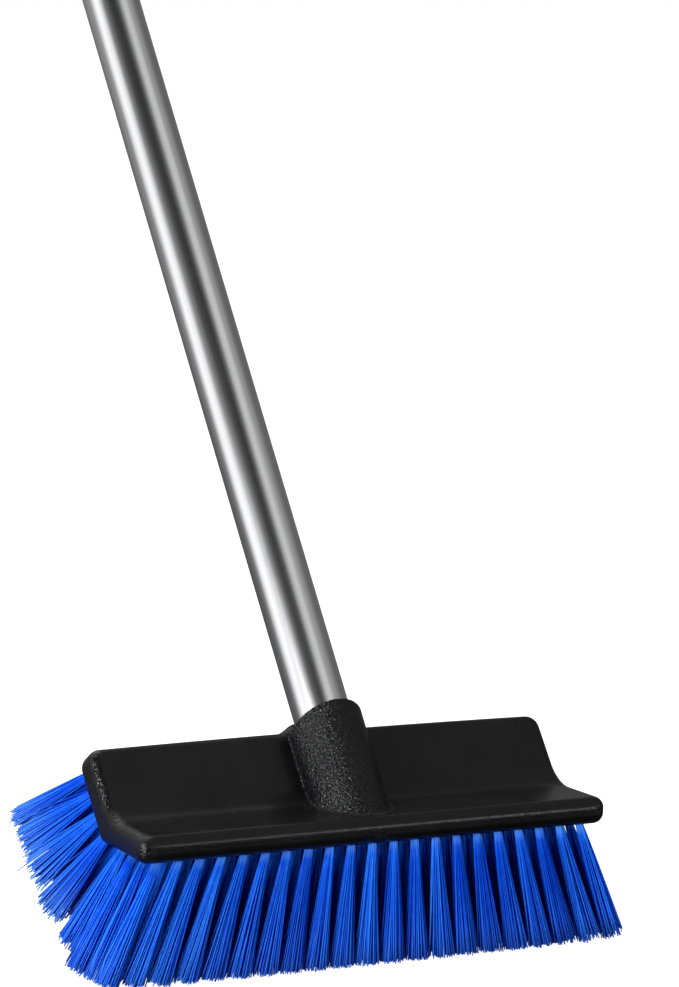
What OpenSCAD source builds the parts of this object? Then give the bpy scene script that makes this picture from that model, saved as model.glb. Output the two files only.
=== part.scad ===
// Two-sided scrub brush: an angled moulded block with bristle tufts on both
// outer faces, screwed onto a telescoping twist-lock pole.
// Millimetres. X runs along the block, Y points back, Z is up.
// The origin is the tip of the middle tuft of the second flange row.

/* [Block] */
// Width of the flange along its front edge, before its corners are rounded
flange_front_width = 263.6; // [200:0.1:320]
// Width of the block where panel and flange meet
neck_width = 257.6; // [190:0.1:310]
// Width of the panel along its top edge
panel_top_width = 257; // [180:0.1:300]
// Depth of the flange's underside, front edge to bend
flange_depth = 47.3; // [30:0.1:70]
// Thickness of the flange
flange_thickness = 13.5; // [13:0.5:24]
// Height of the panel's back face, bend to top edge
panel_height = 44.4; // [30:0.1:70]
// Thickness of the panel
panel_thickness = 15.8; // [14:0.1:24]
// Lean of the panel back from the vertical, in degrees
panel_lean = 38.5; // [30:0.5:55]
// Rounding of the long outer edges
edge_radius = 5; // [1:0.5:6]
// Rounding of the outer bend between the two bristle faces
bend_radius = 7; // [4:0.5:14]
// Rounding of the flange's front corners, seen from above
flange_corner_radius = 6; // [5:1:30]
// Rounding of the panel's top corners
panel_corner_radius = 8; // [4:1:20]

/* [Socket] */
// Lean of the handle back from the vertical, in degrees
handle_lean = 37; // [25:0.1:55]
// Height of the reference point above the panel's top edge, along the handle
axis_rise = 11.85; // [8:0.05:25]
// Distance of the handle's axis in front of the panel at its top edge
axis_standoff = 6.2; // [2:0.1:12]
// Radius of the socket boss
boss_radius = 19; // [16.5:0.1:25]
// Depth of the boss rim on the axis, below the reference point
rim_depth = 14; // [8:0.5:25]
// Tilt of the rim, front side higher, in degrees
rim_tilt = 19; // [0:0.1:35]
// Radius of the counterbore that takes the tube
counterbore_radius = 14.6; // [14.4:0.05:16]
// Depth of the counterbore's floor below the reference point
counterbore_floor = 30; // [22:0.5:36]
// Radius of the threaded bore's wall, drawn plain
thread_bore_radius = 9.5; // [8:0.05:12]
// Depth of the threaded bore's end below the reference point
thread_bore_end = 50; // [40:0.5:54]

/* [Tufts] */
// Tufts on each side of the middle one in a row
tufts_each_side = 10; // [4:1:14]
// Spacing of the tufts along a row
tuft_pitch = 11.95; // [9:0.05:16]
// Spacing of the rows on a face
row_pitch = 10.4; // [9:0.1:14]
// Distance of the outermost row from the edge of its face
row_inset = 7; // [5:0.1:10]
// Splay of the end tufts, in degrees
end_splay = 22.8; // [0:0.1:30]
// Free length of a tuft
tuft_length = 62.5; // [40:0.5:90]
// Height of the flange's underside above the floor
trim_height = 61; // [40:0.5:88]
// Radius of a tuft in its hole
tuft_root_radius = 2.3; // [1.5:0.1:3]
// Radius of a tuft at its tip
tuft_tip_radius = 4.9; // [2:0.1:5.4]
// Depth of a tuft hole
hole_depth = 9; // [6:0.5:11]
// Depth of the holes in the column behind the socket
shallow_depth = 4.5; // [3:0.5:6]
// Depth of the holes in the columns beside that one
near_depth = 7.5; // [4:0.5:9]
// Down angle of the flange rows, front row first, in degrees
flange_row_angles = [90, 90, 84, 74];
// Down angle of the panel rows, top row first, in degrees
panel_row_angles = [27, 38, 48, 60];
// Length of a staple anchor
anchor_length = 4.4; // [3:0.1:4.5]
// Thickness of a staple anchor
anchor_thickness = 0.5; // [0.3:0.05:0.8]
// Height of a staple anchor
anchor_height = 2; // [1:0.1:3]

/* [Lower tube] */
// Outer radius of the lower tube
lower_tube_radius = 14.2875; // [14:0.0001:14.3]
// Wall thickness of the lower tube
lower_tube_wall = 1; // [0.8:0.1:1.5]
// Distance of the lower tube's top end from the reference point
lower_tube_top = 594; // [450:1:900]
// Thickness of the thrust washer, its end play included
washer_thickness = 1; // [0.5:0.1:2]
// End play of the thrust washer below the tip's shoulder
washer_play = 0.05; // [0.02:0.01:0.1]
// Thickness of the tip's shoulder
shoulder_thickness = 3; // [2:0.5:5]
// Radius of the tip's threaded stud, drawn plain
stud_radius = 9.42; // [8:0.01:12]
// Gap below the stud in the bore
stud_end_gap = 1.5; // [0.5:0.1:4]
// Distance of the tip insert's top end from the reference point
insert_top = 6; // [0:1:30]
// Radius of the tip's core hole
core_radius = 5.5; // [3:0.5:7]
// Radius of the tip's rivet
rivet_radius = 2; // [1.5:0.1:3]
// Depth of the rivet below the reference point
rivet_depth = 18; // [10:0.5:22]
// Length of the rivet
rivet_length = 7; // [4:0.5:8]

/* [Twist lock] */
// Length of the collar below the nut
collar_length = 44; // [30:1:60]
// Outer radius of the collar
collar_radius = 17.4; // [16:0.1:20]
// Length of the collar's threaded spigot, drawn plain
spigot_length = 26; // [16:1:36]
// Outer radius of the spigot
spigot_radius = 16.4; // [16:0.1:17]
// Inner radius of the spigot at its floor
spigot_floor_radius = 14.5; // [14.3:0.1:15]
// Inner radius of the spigot at its mouth
spigot_mouth_radius = 15.3; // [14.5:0.1:15.5]
// Width of the slit in the collet
collet_slit = 2.4; // [1:0.1:4]
// Running clearance on the upper tube and the nut
running_gap = 0.05; // [0.02:0.01:0.1]
// Thickness of the nut's top lip
nut_lip = 5; // [3:0.5:8]
// Outer radius of the nut
nut_radius = 19.6; // [18:0.1:24]
// Number of finger flutes on the nut
flute_count = 12; // [6:1:18]
// Radius of a finger flute
flute_radius = 3.2; // [2:0.1:5]

/* [Upper tube and grip] */
// Outer radius of the upper tube
upper_tube_radius = 12.7; // [12:0.1:12.9]
// Wall thickness of the upper tube
upper_tube_wall = 0.9; // [0.8:0.1:1.5]
// Distance of the upper tube's lower end from the reference point
upper_tube_bottom = 60; // [20:1:120]
// Distance of the upper tube's top end from the reference point
upper_tube_top = 772; // [700:1:1100]
// Length of the guide bush below the tube
bush_length = 16; // [8:1:30]
// Running clearance of the guide bush in the lower tube
bush_gap = 0.07; // [0.02:0.01:0.1]
// Length of the grip
grip_length = 113; // [80:1:160]
// Outer radius of the grip
grip_radius = 16.2; // [15:0.1:20]
// Number of grooves around the grip
grip_grooves = 9; // [3:1:14]
// Length of the end cap's plug inside the tube
cap_plug_length = 27; // [10:1:50]
// Length of the end cap's skirt over the tube
cap_skirt = 4; // [2:0.5:10]
// Thickness of the end cap's disc
cap_disc = 8; // [4:0.5:14]
// Thickness of the hanging tab
tab_thickness = 10; // [6:0.5:14]
// Radius of the rounded end of the hanging tab
tab_radius = 11; // [9:0.5:15]
// Radius of the hanging hole
hang_hole_radius = 5; // [3:0.5:7]
// Distance of the hanging hole above the disc
hang_hole_rise = 14; // [11:0.5:20]

/* [Colours] */
// Colour of the moulded block
block_colour = [0.035, 0.035, 0.04];
// Colour of the bristles
bristle_colour = [0.02, 0.16, 0.72];
// Colour of the staple anchors and the rivet
steel_colour = [0.6, 0.6, 0.62];
// Colour of the tubes
tube_colour = [0.72, 0.72, 0.74];
// Colour of the pole's dark plastic fittings
fitting_colour = [0.07, 0.07, 0.08];
// Colour of the pole's inner plastic pieces
inner_colour = [0.75, 0.75, 0.72];
// Colour of the grip
grip_colour = [0.05, 0.05, 0.055];

/* [Hidden] */
$fn = 64;
reach = 400;
front_y = -(row_inset + row_pitch);
floor_z = trim_height;
bend_y = front_y + flange_depth;
flange_top_z = floor_z + flange_thickness;
// Where the panel's front face meets the flange's top, and its height on the panel
foot_y = bend_y + flange_thickness * tan(panel_lean) - panel_thickness / cos(panel_lean);
foot_rise = (foot_y - bend_y) * sin(panel_lean) + flange_thickness * cos(panel_lean);
// The block's ends are square for this far on each side of that line
foot_margin = 3;
// The reference point on the handle's axis
top_front_y = bend_y + panel_height * sin(panel_lean) - panel_thickness * cos(panel_lean);
top_front_z = floor_z + panel_height * cos(panel_lean) + panel_thickness * sin(panel_lean);
axis_y = top_front_y + axis_rise * sin(handle_lean) - axis_standoff * cos(handle_lean);
axis_z = top_front_z + axis_rise * cos(handle_lean) + axis_standoff * sin(handle_lean);
boss_foot = 84;
boss_back = 9;
boss_sink = 5;
bend_half_turn = (90 - panel_lean) / 2;
bend_setback = bend_radius * tan(bend_half_turn);
tuft_collar = 1.5;
washer_floor = -counterbore_floor;
shoulder_floor = washer_floor + washer_thickness;
tube_bottom = shoulder_floor + shoulder_thickness;
shoulder_radius = lower_tube_radius - 0.1;
washer_bore = thread_bore_radius + 0.1;
stud_end = stud_end_gap - thread_bore_end;
core_floor = 5;
lower_bore_radius = lower_tube_radius - lower_tube_wall;
upper_bore_radius = upper_tube_radius - upper_tube_wall;
lip_height = 3;
lip_radius = upper_tube_radius + 0.25;
collar_bottom = lower_tube_top + lip_height + 3 - collar_length;
spigot_floor = lower_tube_top + lip_height;
spigot_bottom = spigot_floor + 3;
spigot_top = spigot_bottom + spigot_length;
end_play = 0.3;
collet_radius = upper_tube_radius + running_gap;
seat_gap = 0.05;
nut_bore_radius = spigot_radius + running_gap;
nut_bottom = spigot_bottom + end_play;
nut_shelf = spigot_top + 1.5;
nut_top = nut_shelf + nut_lip;
nut_chamfer = 1.2;
bush_radius = lower_bore_radius - bush_gap;
bush_spigot = 18;
bush_bore = 9;
grip_top = upper_tube_top - cap_skirt;
grip_bottom = grip_top - grip_length;
grip_round = 2;
groove_depth = 1.1;
groove_width = 3;
groove_pitch = grip_length / (grip_grooves + 1);
cap_top = upper_tube_top + cap_disc;
cap_chamfer = 2;
tab_centre = cap_top + hang_hole_rise;

function hole_depth_at(i) =
    i == 0 ? shallow_depth : abs(i) == 1 ? near_depth : hole_depth;

// Frame with Z along the panel, from the bend up, and Y out of its back face
module on_panel() {
    translate([0, bend_y, floor_z])
        rotate([-panel_lean, 0, 0])
            children();
}

// Frame with Z along the handle, from the reference point up
module on_handle() {
    translate([0, axis_y, axis_z])
        rotate([-handle_lean, 0, 0])
            children();
}

// Cylinder between two heights
module rod(r, low, high) {
    translate([0, 0, low])
        cylinder(r = r, h = high - low);
}

// Cylinder along X
module cross_rod(r, length) {
    rotate([0, 90, 0])
        cylinder(r = r, h = length, center = true);
}

module flange_section() {
    span = flange_depth - edge_radius - bend_setback;
    translate([-reach / 2, front_y + edge_radius, floor_z])
        cube([reach, span, flange_thickness]);
    translate([-reach / 2, front_y, floor_z + edge_radius])
        cube([reach, edge_radius + 1, flange_thickness - 2 * edge_radius]);
    for (z = [floor_z + edge_radius, flange_top_z - edge_radius])
        translate([0, front_y + edge_radius, z])
            cross_rod(edge_radius, reach);
}

module panel_section() {
    span = panel_height - edge_radius - bend_setback;
    translate([-reach / 2, -panel_thickness, bend_setback])
        cube([reach, panel_thickness, span]);
    translate([-reach / 2, edge_radius - panel_thickness, panel_height - edge_radius - 1])
        cube([reach, panel_thickness - 2 * edge_radius, edge_radius + 1]);
    for (y = [-edge_radius, edge_radius - panel_thickness])
        translate([0, y, panel_height - edge_radius])
            cross_rod(edge_radius, reach);
}

// The wedge between the two slabs, rounded on the outer bend
module bend_section() {
    centre = [bend_y - bend_setback, floor_z + bend_radius];
    rotate([90, 0, 90])
        translate([0, 0, -reach / 2])
            linear_extrude(height = reach)
                intersection() {
                    polygon([
                        [centre[0], floor_z],
                        [bend_y, floor_z],
                        [bend_y + bend_setback * sin(panel_lean), floor_z + bend_setback * cos(panel_lean)],
                        centre
                    ]);
                    translate(centre)
                        circle(r = bend_radius);
                }
}

module flange_outline() {
    front = flange_front_width / 2;
    neck = neck_width / 2;
    r = flange_corner_radius;
    // Centre of the corner round, tangent to the front edge and the slanted end
    slant = atan((front - neck) / (foot_y - foot_margin - front_y));
    cx = front - r * tan(slant) - r / cos(slant);
    translate([0, 0, floor_z - 10])
        linear_extrude(height = flange_thickness + 20)
            union() {
                polygon([
                    [-cx, front_y],
                    [-cx - r * cos(slant), front_y + r + r * sin(slant)],
                    [-neck, foot_y - foot_margin],
                    [neck, foot_y - foot_margin],
                    [cx + r * cos(slant), front_y + r + r * sin(slant)],
                    [cx, front_y]
                ]);
                translate([-cx, front_y + r])
                    circle(r = r);
                translate([cx, front_y + r])
                    circle(r = r);
            }
}

module panel_outline() {
    top = panel_top_width / 2;
    neck = neck_width / 2;
    r = panel_corner_radius;
    taper = atan((neck - top) / (panel_height - foot_rise - foot_margin));
    cx = top + r * tan(taper) - r / cos(taper);
    rotate([90, 0, 0])
        translate([0, 0, -20])
            linear_extrude(height = panel_thickness + 40)
                union() {
                    polygon([
                        [-cx, panel_height],
                        [-cx - r * cos(taper), panel_height - r + r * sin(taper)],
                        [-neck, foot_rise + foot_margin],
                        [-neck, -20],
                        [neck, -20],
                        [neck, foot_rise + foot_margin],
                        [cx + r * cos(taper), panel_height - r + r * sin(taper)],
                        [cx, panel_height]
                    ]);
                    translate([-cx, panel_height - r])
                        circle(r = r);
                    translate([cx, panel_height - r])
                        circle(r = r);
                }
}

// The socket's boss, sunk into the panel and the flange
module boss_solid() {
    difference() {
        on_handle()
            difference() {
                translate([0, 0, -boss_foot])
                    linear_extrude(height = boss_foot)
                        intersection() {
                            circle(r = boss_radius);
                            translate([-reach / 2, boss_back - reach])
                                square([reach, reach]);
                        }
                translate([0, 0, -rim_depth])
                    rotate([-rim_tilt, 0, 0])
                        translate([-reach / 2, -reach / 2, 0])
                            cube([reach, reach, reach]);
            }
        translate([-reach / 2, -reach / 2, floor_z + boss_sink - reach])
            cube([reach, reach, reach]);
    }
}

// Frame of one tuft: Z points from the block's face out along the bristles
module at_tuft(i, down) {
    splay = end_splay * i / tufts_each_side;
    translate([i * tuft_pitch, 0, 0])
        rotate([90 - down, 0, 0])
            rotate([0, 180 - splay, 0])
                children();
}

module at_flange_row(row) {
    translate([0, front_y + row_inset + row * row_pitch, floor_z])
        children();
}

module at_panel_row(row) {
    rise = panel_height - row_inset - row * row_pitch;
    translate([0, bend_y + rise * sin(panel_lean), floor_z + rise * cos(panel_lean)])
        children();
}

// One tuft, folded over its anchor
module tuft(i) {
    depth = hole_depth_at(i);
    difference() {
        rotate_extrude()
            polygon([
                [0, -depth],
                [tuft_root_radius, -depth],
                [tuft_root_radius, tuft_collar],
                [tuft_tip_radius, tuft_length],
                [0, tuft_length]
            ]);
        translate([-anchor_length / 2, -anchor_thickness / 2, -depth - 1])
            cube([anchor_length, anchor_thickness, anchor_height + 1]);
    }
}

module anchor(i) {
    translate([-anchor_length / 2, -anchor_thickness / 2, -hole_depth_at(i)])
        cube([anchor_length, anchor_thickness, anchor_height]);
}

module flange_tufts(row) {
    color(bristle_colour)
        difference() {
            at_flange_row(row)
                for (i = [-tufts_each_side : tufts_each_side])
                    at_tuft(i, flange_row_angles[row])
                        tuft(i);
            translate([-reach / 2, -reach / 2, -20])
                cube([reach, reach, 20]);
        }
}

module panel_tufts(row) {
    color(bristle_colour)
        at_panel_row(row)
            for (i = [-tufts_each_side : tufts_each_side])
                at_tuft(i, panel_row_angles[row])
                    tuft(i);
}

module tuft_hole(i) {
    rod(tuft_root_radius, -hole_depth_at(i), tuft_collar + 1);
}

module block() {
    color(block_colour)
        difference() {
            union() {
                intersection() {
                    union() {
                        flange_section();
                        on_panel()
                            panel_section();
                        bend_section();
                    }
                    union() {
                        flange_outline();
                        on_panel()
                            panel_outline();
                    }
                }
                boss_solid();
            }
            on_handle() {
                rod(counterbore_radius, -counterbore_floor, 20);
                rod(thread_bore_radius, -thread_bore_end, 0);
            }
            for (row = [0 : 3]) {
                at_flange_row(row)
                    for (i = [-tufts_each_side : tufts_each_side])
                        at_tuft(i, flange_row_angles[row])
                            tuft_hole(i);
                at_panel_row(row)
                    for (i = [-tufts_each_side : tufts_each_side])
                        at_tuft(i, panel_row_angles[row])
                            tuft_hole(i);
            }
        }
}

module flange_tufts_1() {
    flange_tufts(0);
}

module flange_tufts_2() {
    flange_tufts(1);
}

module flange_tufts_3() {
    flange_tufts(2);
}

module flange_tufts_4() {
    flange_tufts(3);
}

module panel_tufts_1() {
    panel_tufts(0);
}

module panel_tufts_2() {
    panel_tufts(1);
}

module panel_tufts_3() {
    panel_tufts(2);
}

module panel_tufts_4() {
    panel_tufts(3);
}

module flange_anchors() {
    color(steel_colour)
        for (row = [0 : 3])
            at_flange_row(row)
                for (i = [-tufts_each_side : tufts_each_side])
                    at_tuft(i, flange_row_angles[row])
                        anchor(i);
}

module panel_anchors() {
    color(steel_colour)
        for (row = [0 : 3])
            at_panel_row(row)
                for (i = [-tufts_each_side : tufts_each_side])
                    at_tuft(i, panel_row_angles[row])
                        anchor(i);
}

module thrust_washer() {
    color(inner_colour)
        on_handle()
            difference() {
                rod(shoulder_radius, washer_floor, shoulder_floor - washer_play);
                rod(washer_bore, washer_floor - 1, shoulder_floor + 1);
            }
}

module rivet_shape() {
    translate([0, lower_tube_radius - rivet_length, -rivet_depth])
        rotate([-90, 0, 0])
            cylinder(r = rivet_radius, h = rivet_length + 2);
}

module tip_plug() {
    color(fitting_colour)
        on_handle()
            difference() {
                union() {
                    rod(stud_radius, stud_end, shoulder_floor);
                    rod(shoulder_radius, shoulder_floor, tube_bottom);
                    rod(lower_bore_radius, tube_bottom, insert_top);
                }
                rod(core_radius, stud_end + core_floor, insert_top + 1);
                rivet_shape();
            }
}

module tip_rivet() {
    color(steel_colour)
        on_handle()
            intersection() {
                rivet_shape();
                rod(lower_tube_radius, -counterbore_floor, 0);
            }
}

module lower_tube() {
    color(tube_colour)
        on_handle()
            difference() {
                rod(lower_tube_radius, tube_bottom, lower_tube_top);
                rod(lower_bore_radius, tube_bottom - 1, lower_tube_top + 1);
                rivet_shape();
            }
}

module lock_collar() {
    color(fitting_colour)
        on_handle()
            rotate_extrude()
                polygon([
                    [lower_tube_radius, collar_bottom],
                    [collar_radius - nut_chamfer, collar_bottom],
                    [collar_radius, collar_bottom + nut_chamfer],
                    [collar_radius, spigot_bottom],
                    [spigot_radius, spigot_bottom],
                    [spigot_radius, spigot_top],
                    [spigot_mouth_radius, spigot_top],
                    [spigot_floor_radius, spigot_floor],
                    [lip_radius, spigot_floor],
                    [lip_radius, lower_tube_top],
                    [lower_tube_radius, lower_tube_top]
                ]);
}

module collet() {
    color(inner_colour)
        on_handle()
            difference() {
                rotate_extrude()
                    polygon([
                        [collet_radius, spigot_floor + end_play],
                        [spigot_floor_radius - seat_gap, spigot_floor + end_play],
                        [spigot_mouth_radius - seat_gap, spigot_top],
                        [spigot_mouth_radius - seat_gap, nut_shelf - seat_gap],
                        [collet_radius, nut_shelf - seat_gap]
                    ]);
                translate([-collet_slit / 2, 0, spigot_floor - 1])
                    cube([collet_slit, reach / 2, spigot_length + 10]);
            }
}

module lock_nut() {
    color(fitting_colour)
        on_handle()
            difference() {
                rotate_extrude()
                    polygon([
                        [nut_bore_radius, nut_bottom],
                        [nut_radius - nut_chamfer, nut_bottom],
                        [nut_radius, nut_bottom + nut_chamfer],
                        [nut_radius, nut_shelf],
                        [nut_radius - 3 * nut_chamfer, nut_top],
                        [lip_radius, nut_top],
                        [lip_radius, nut_shelf],
                        [nut_bore_radius, nut_shelf]
                    ]);
                for (k = [1 : flute_count])
                    rotate([0, 0, k * 360 / flute_count])
                        translate([nut_radius + flute_radius - 1.2, 0, nut_bottom + 3])
                            cylinder(r = flute_radius, h = spigot_length + nut_lip + 5);
            }
}

module upper_tube() {
    color(tube_colour)
        on_handle()
            difference() {
                rod(upper_tube_radius, upper_tube_bottom, upper_tube_top);
                rod(upper_bore_radius, upper_tube_bottom - 1, upper_tube_top + 1);
            }
}

module guide_bush() {
    color(inner_colour)
        on_handle()
            difference() {
                union() {
                    rod(bush_radius, upper_tube_bottom - bush_length, upper_tube_bottom);
                    rod(upper_bore_radius, upper_tube_bottom - 1, upper_tube_bottom + bush_spigot);
                }
                rod(bush_bore, upper_tube_bottom - bush_length - 1, upper_tube_bottom + bush_spigot + 1);
            }
}

module grip() {
    color(grip_colour)
        on_handle()
            difference() {
                rotate_extrude()
                    polygon([
                        [upper_tube_radius, grip_bottom],
                        [grip_radius - grip_round, grip_bottom],
                        [grip_radius, grip_bottom + grip_round],
                        [grip_radius, grip_top],
                        [upper_tube_radius, grip_top]
                    ]);
                for (k = [1 : grip_grooves])
                    translate([0, 0, grip_bottom + k * groove_pitch - groove_width / 2])
                        difference() {
                            cylinder(r = grip_radius + 1, h = groove_width);
                            translate([0, 0, -1])
                                cylinder(r = grip_radius - groove_depth, h = groove_width + 2);
                        }
            }
}

module end_cap() {
    color(fitting_colour)
        on_handle()
            difference() {
                union() {
                    rotate_extrude()
                        polygon([
                            [0, upper_tube_top - cap_plug_length],
                            [upper_bore_radius, upper_tube_top - cap_plug_length],
                            [upper_bore_radius, upper_tube_top],
                            [upper_tube_radius, upper_tube_top],
                            [upper_tube_radius, grip_top],
                            [grip_radius, grip_top],
                            [grip_radius, cap_top - cap_chamfer],
                            [grip_radius - cap_chamfer, cap_top],
                            [0, cap_top]
                        ]);
                    translate([-tab_thickness / 2, -tab_radius, cap_top - 1])
                        cube([tab_thickness, 2 * tab_radius, hang_hole_rise + 1]);
                    translate([0, 0, tab_centre])
                        cross_rod(tab_radius, tab_thickness);
                }
                translate([0, 0, tab_centre])
                    cross_rod(hang_hole_radius, tab_thickness + 2);
            }
}

block();
flange_tufts_1();
flange_tufts_2();
flange_tufts_3();
flange_tufts_4();
panel_tufts_1();
panel_tufts_2();
panel_tufts_3();
panel_tufts_4();
flange_anchors();
panel_anchors();
thrust_washer();
tip_plug();
tip_rivet();
lower_tube();
lock_collar();
collet();
lock_nut();
upper_tube();
guide_bush();
grip();
end_cap();
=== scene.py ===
"""Looks of a two-level scrub brush on a telescoping pole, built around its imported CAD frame."""

import math

import bmesh
import bpy
import numpy as np
from mathutils import Matrix, Vector


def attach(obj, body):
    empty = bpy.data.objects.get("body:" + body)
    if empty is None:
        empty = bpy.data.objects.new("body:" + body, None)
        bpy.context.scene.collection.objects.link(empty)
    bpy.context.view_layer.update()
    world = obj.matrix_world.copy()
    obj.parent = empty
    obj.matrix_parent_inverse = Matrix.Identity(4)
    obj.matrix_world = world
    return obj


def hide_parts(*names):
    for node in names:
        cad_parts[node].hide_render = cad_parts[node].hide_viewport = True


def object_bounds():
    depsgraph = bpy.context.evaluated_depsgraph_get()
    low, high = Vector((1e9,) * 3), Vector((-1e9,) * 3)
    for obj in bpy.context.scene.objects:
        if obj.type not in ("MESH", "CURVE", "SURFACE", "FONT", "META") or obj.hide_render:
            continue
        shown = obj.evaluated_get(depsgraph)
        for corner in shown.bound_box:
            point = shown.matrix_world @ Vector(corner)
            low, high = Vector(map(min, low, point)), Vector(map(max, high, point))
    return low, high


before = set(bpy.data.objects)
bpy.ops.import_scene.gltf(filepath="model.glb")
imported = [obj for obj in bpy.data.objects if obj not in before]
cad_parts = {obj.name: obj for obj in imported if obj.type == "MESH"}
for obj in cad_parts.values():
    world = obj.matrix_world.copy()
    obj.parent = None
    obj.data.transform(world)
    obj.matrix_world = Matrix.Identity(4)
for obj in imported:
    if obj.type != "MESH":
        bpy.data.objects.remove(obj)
cad_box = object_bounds()
scene = bpy.context.scene
rng = np.random.default_rng(41)

# Metres to a millimetre
MM = 0.001

# The block, in millimetres in the CAD frame
FLANGE_FLOOR = 61.0
FLANGE_THICKNESS = 13.5
FLANGE_FRONT = -17.4
BEND_Y = 29.9
PANEL_THICKNESS = 15.8
PANEL_HEIGHT = 44.4
PANEL_LEAN = math.radians(38.5)
FOOT_Y = BEND_Y + FLANGE_THICKNESS * math.tan(PANEL_LEAN) - PANEL_THICKNESS / math.cos(PANEL_LEAN)
FOOT_RISE = (FOOT_Y - BEND_Y) * math.sin(PANEL_LEAN) + FLANGE_THICKNESS * math.cos(PANEL_LEAN)
FRONT_HALF_WIDTH = 131.8
NECK_HALF_WIDTH = 128.8
TOP_HALF_WIDTH = 128.5

# The tufts: a row is its place on the block's face and how far it points down, in degrees
TUFT_PITCH = 11.95
TUFTS_EACH_SIDE = 10
END_SPLAY = math.radians(22.8)
TUFT_LENGTH = 62.5
TUFT_HOLE_RADIUS = 2.3
HOLE_DEPTHS = [4.5, 7.5] + [9.0] * (TUFTS_EACH_SIDE - 1)
FLANGE_ROWS = [(-10.4, 90.0), (0.0, 90.0), (10.4, 84.0), (20.8, 74.0)]
PANEL_ROWS = [(37.4, 27.0), (27.0, 38.0), (16.6, 48.0), (6.2, 60.0)]

# The handle: its axis, then radii round the axis and heights along it from HANDLE_POINT
HANDLE_LEAN = math.radians(37.0)
HANDLE_POINT = np.array([0.0, 47.3544, 118.7786])
ACROSS = np.array([1.0, 0.0, 0.0])
BEHIND = np.array([0.0, math.cos(HANDLE_LEAN), -math.sin(HANDLE_LEAN)])
ALONG = np.array([0.0, math.sin(HANDLE_LEAN), math.cos(HANDLE_LEAN)])
THREAD_PITCH = 5.08
THREAD_END = -50.0
THREAD_BORE = 9.5
THREAD_DEPTH = 0.95
SOCKET_FLOOR = -30.0
SOCKET_RADIUS = 14.6
SHOULDER_FLOOR = -29.0
SHOULDER_RADIUS = 14.1875
WASHER_BORE = 9.6
STUD_END = -48.5
STUD_RADIUS = 9.4
INSERT_TOP = 6.0
CORE_RADIUS = 5.5
CORE_FLOOR = -43.5
TUBE_FOOT = -26.0
LOWER_TUBE_TOP = 594.0
LOWER_TUBE_RADIUS = 14.2875
LOWER_TUBE_BORE = 13.2875
UPPER_TUBE_FOOT = 60.0
UPPER_TUBE_TOP = 772.0
UPPER_TUBE_RADIUS = 12.7
UPPER_TUBE_BORE = 11.8
BUSH_RADIUS = 13.2175
BUSH_BORE = 9.0
BUSH_LENGTH = 16.0
BUSH_SPIGOT = 18.0
COLLAR_RADIUS = 17.4
COLLAR_BOTTOM = 556.0
SPIGOT_RADIUS = 16.4
CONE_FOOT_RADIUS = 14.5
CONE_TOP_RADIUS = 15.3
SPIGOT_FLOOR = 597.0
SPIGOT_BOTTOM = 600.0
SPIGOT_TOP = 626.0
NUT_RADIUS = 19.6
NUT_TOP_RADIUS = 16.9
NUT_BORE = 16.45
NUT_BOTTOM = 600.3
NUT_SHELF = 627.5
NUT_TOP = 632.5
NUT_FLUTES = 12
LIP_BORE = 12.95
GRIP_BOTTOM = 655.0
GRIP_TOP = 768.0
GRIP_RADIUS = 16.2
GRIP_GROOVES = 9
HANGING_HOLE = 794.0
# Space left between two pieces that meet
CLEARANCE = 0.05


def on_handle(points):
    """Points in the handle's frame (across, behind, along) as points of the row frame."""
    points = np.asarray(points, float)
    return HANDLE_POINT + points @ np.array([ACROSS, BEHIND, ALONG])


def in_handle(points):
    """Points of the row frame in the handle's frame."""
    return (points - HANDLE_POINT) @ np.array([ACROSS, BEHIND, ALONG]).T


def panel_point(rise):
    """The middle of the panel's back face, at a height up it."""
    return np.array([
        0.0,
        BEND_Y + rise * math.sin(PANEL_LEAN),
        FLANGE_FLOOR + rise * math.cos(PANEL_LEAN),
    ])


# ---------------------------------------------------------------- materials


def node(tree, kind, inputs=None, **settings):
    """Adds one shader node; an input is a value or another node's output."""
    made = tree.nodes.new("ShaderNode" + kind)
    for name, value in settings.items():
        setattr(made, name, value)
    for key, value in (inputs or {}).items():
        if isinstance(value, bpy.types.NodeSocket):
            tree.links.new(value, made.inputs[key])
        else:
            made.inputs[key].default_value = value
    return made


def maths(tree, operation, *values):
    """The output of one Math node."""
    return node(tree, "Math", dict(enumerate(values)), operation=operation).outputs[0]


def smooth_range(tree, value, low, high, start, end):
    """A value's smooth step from start, up to low, to end, from high."""
    inputs = {0: value, 1: low, 2: high, 3: start, 4: end}
    return node(tree, "MapRange", inputs, interpolation_type="SMOOTHSTEP").outputs[0]


def ramp(tree, factor, stops):
    """A colour ramp through (position, colour) stops."""
    made = node(tree, "ValToRGB", {0: factor})
    elements = made.color_ramp.elements
    while len(elements) < len(stops):
        elements.new(0.5)
    for element, (position, colour) in zip(elements, stops):
        element.position = position
        element.color = (*colour, 1.0)
    return made.outputs["Color"]


def new_material(name, **principled):
    """A material with a Principled surface; returns it with its tree and that node."""
    material = bpy.data.materials.new(name)
    material.use_nodes = True
    tree = material.node_tree
    surface = tree.nodes["Principled BSDF"]
    for key, value in principled.items():
        surface.inputs[key.replace("_", " ").title().replace("Ior", "IOR")].default_value = value
    return material, tree, surface


# How much paler than the plastic the pebble tops are painted, a painted highlight on them
PEBBLE_GLINT_PALENESS = 3


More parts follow.
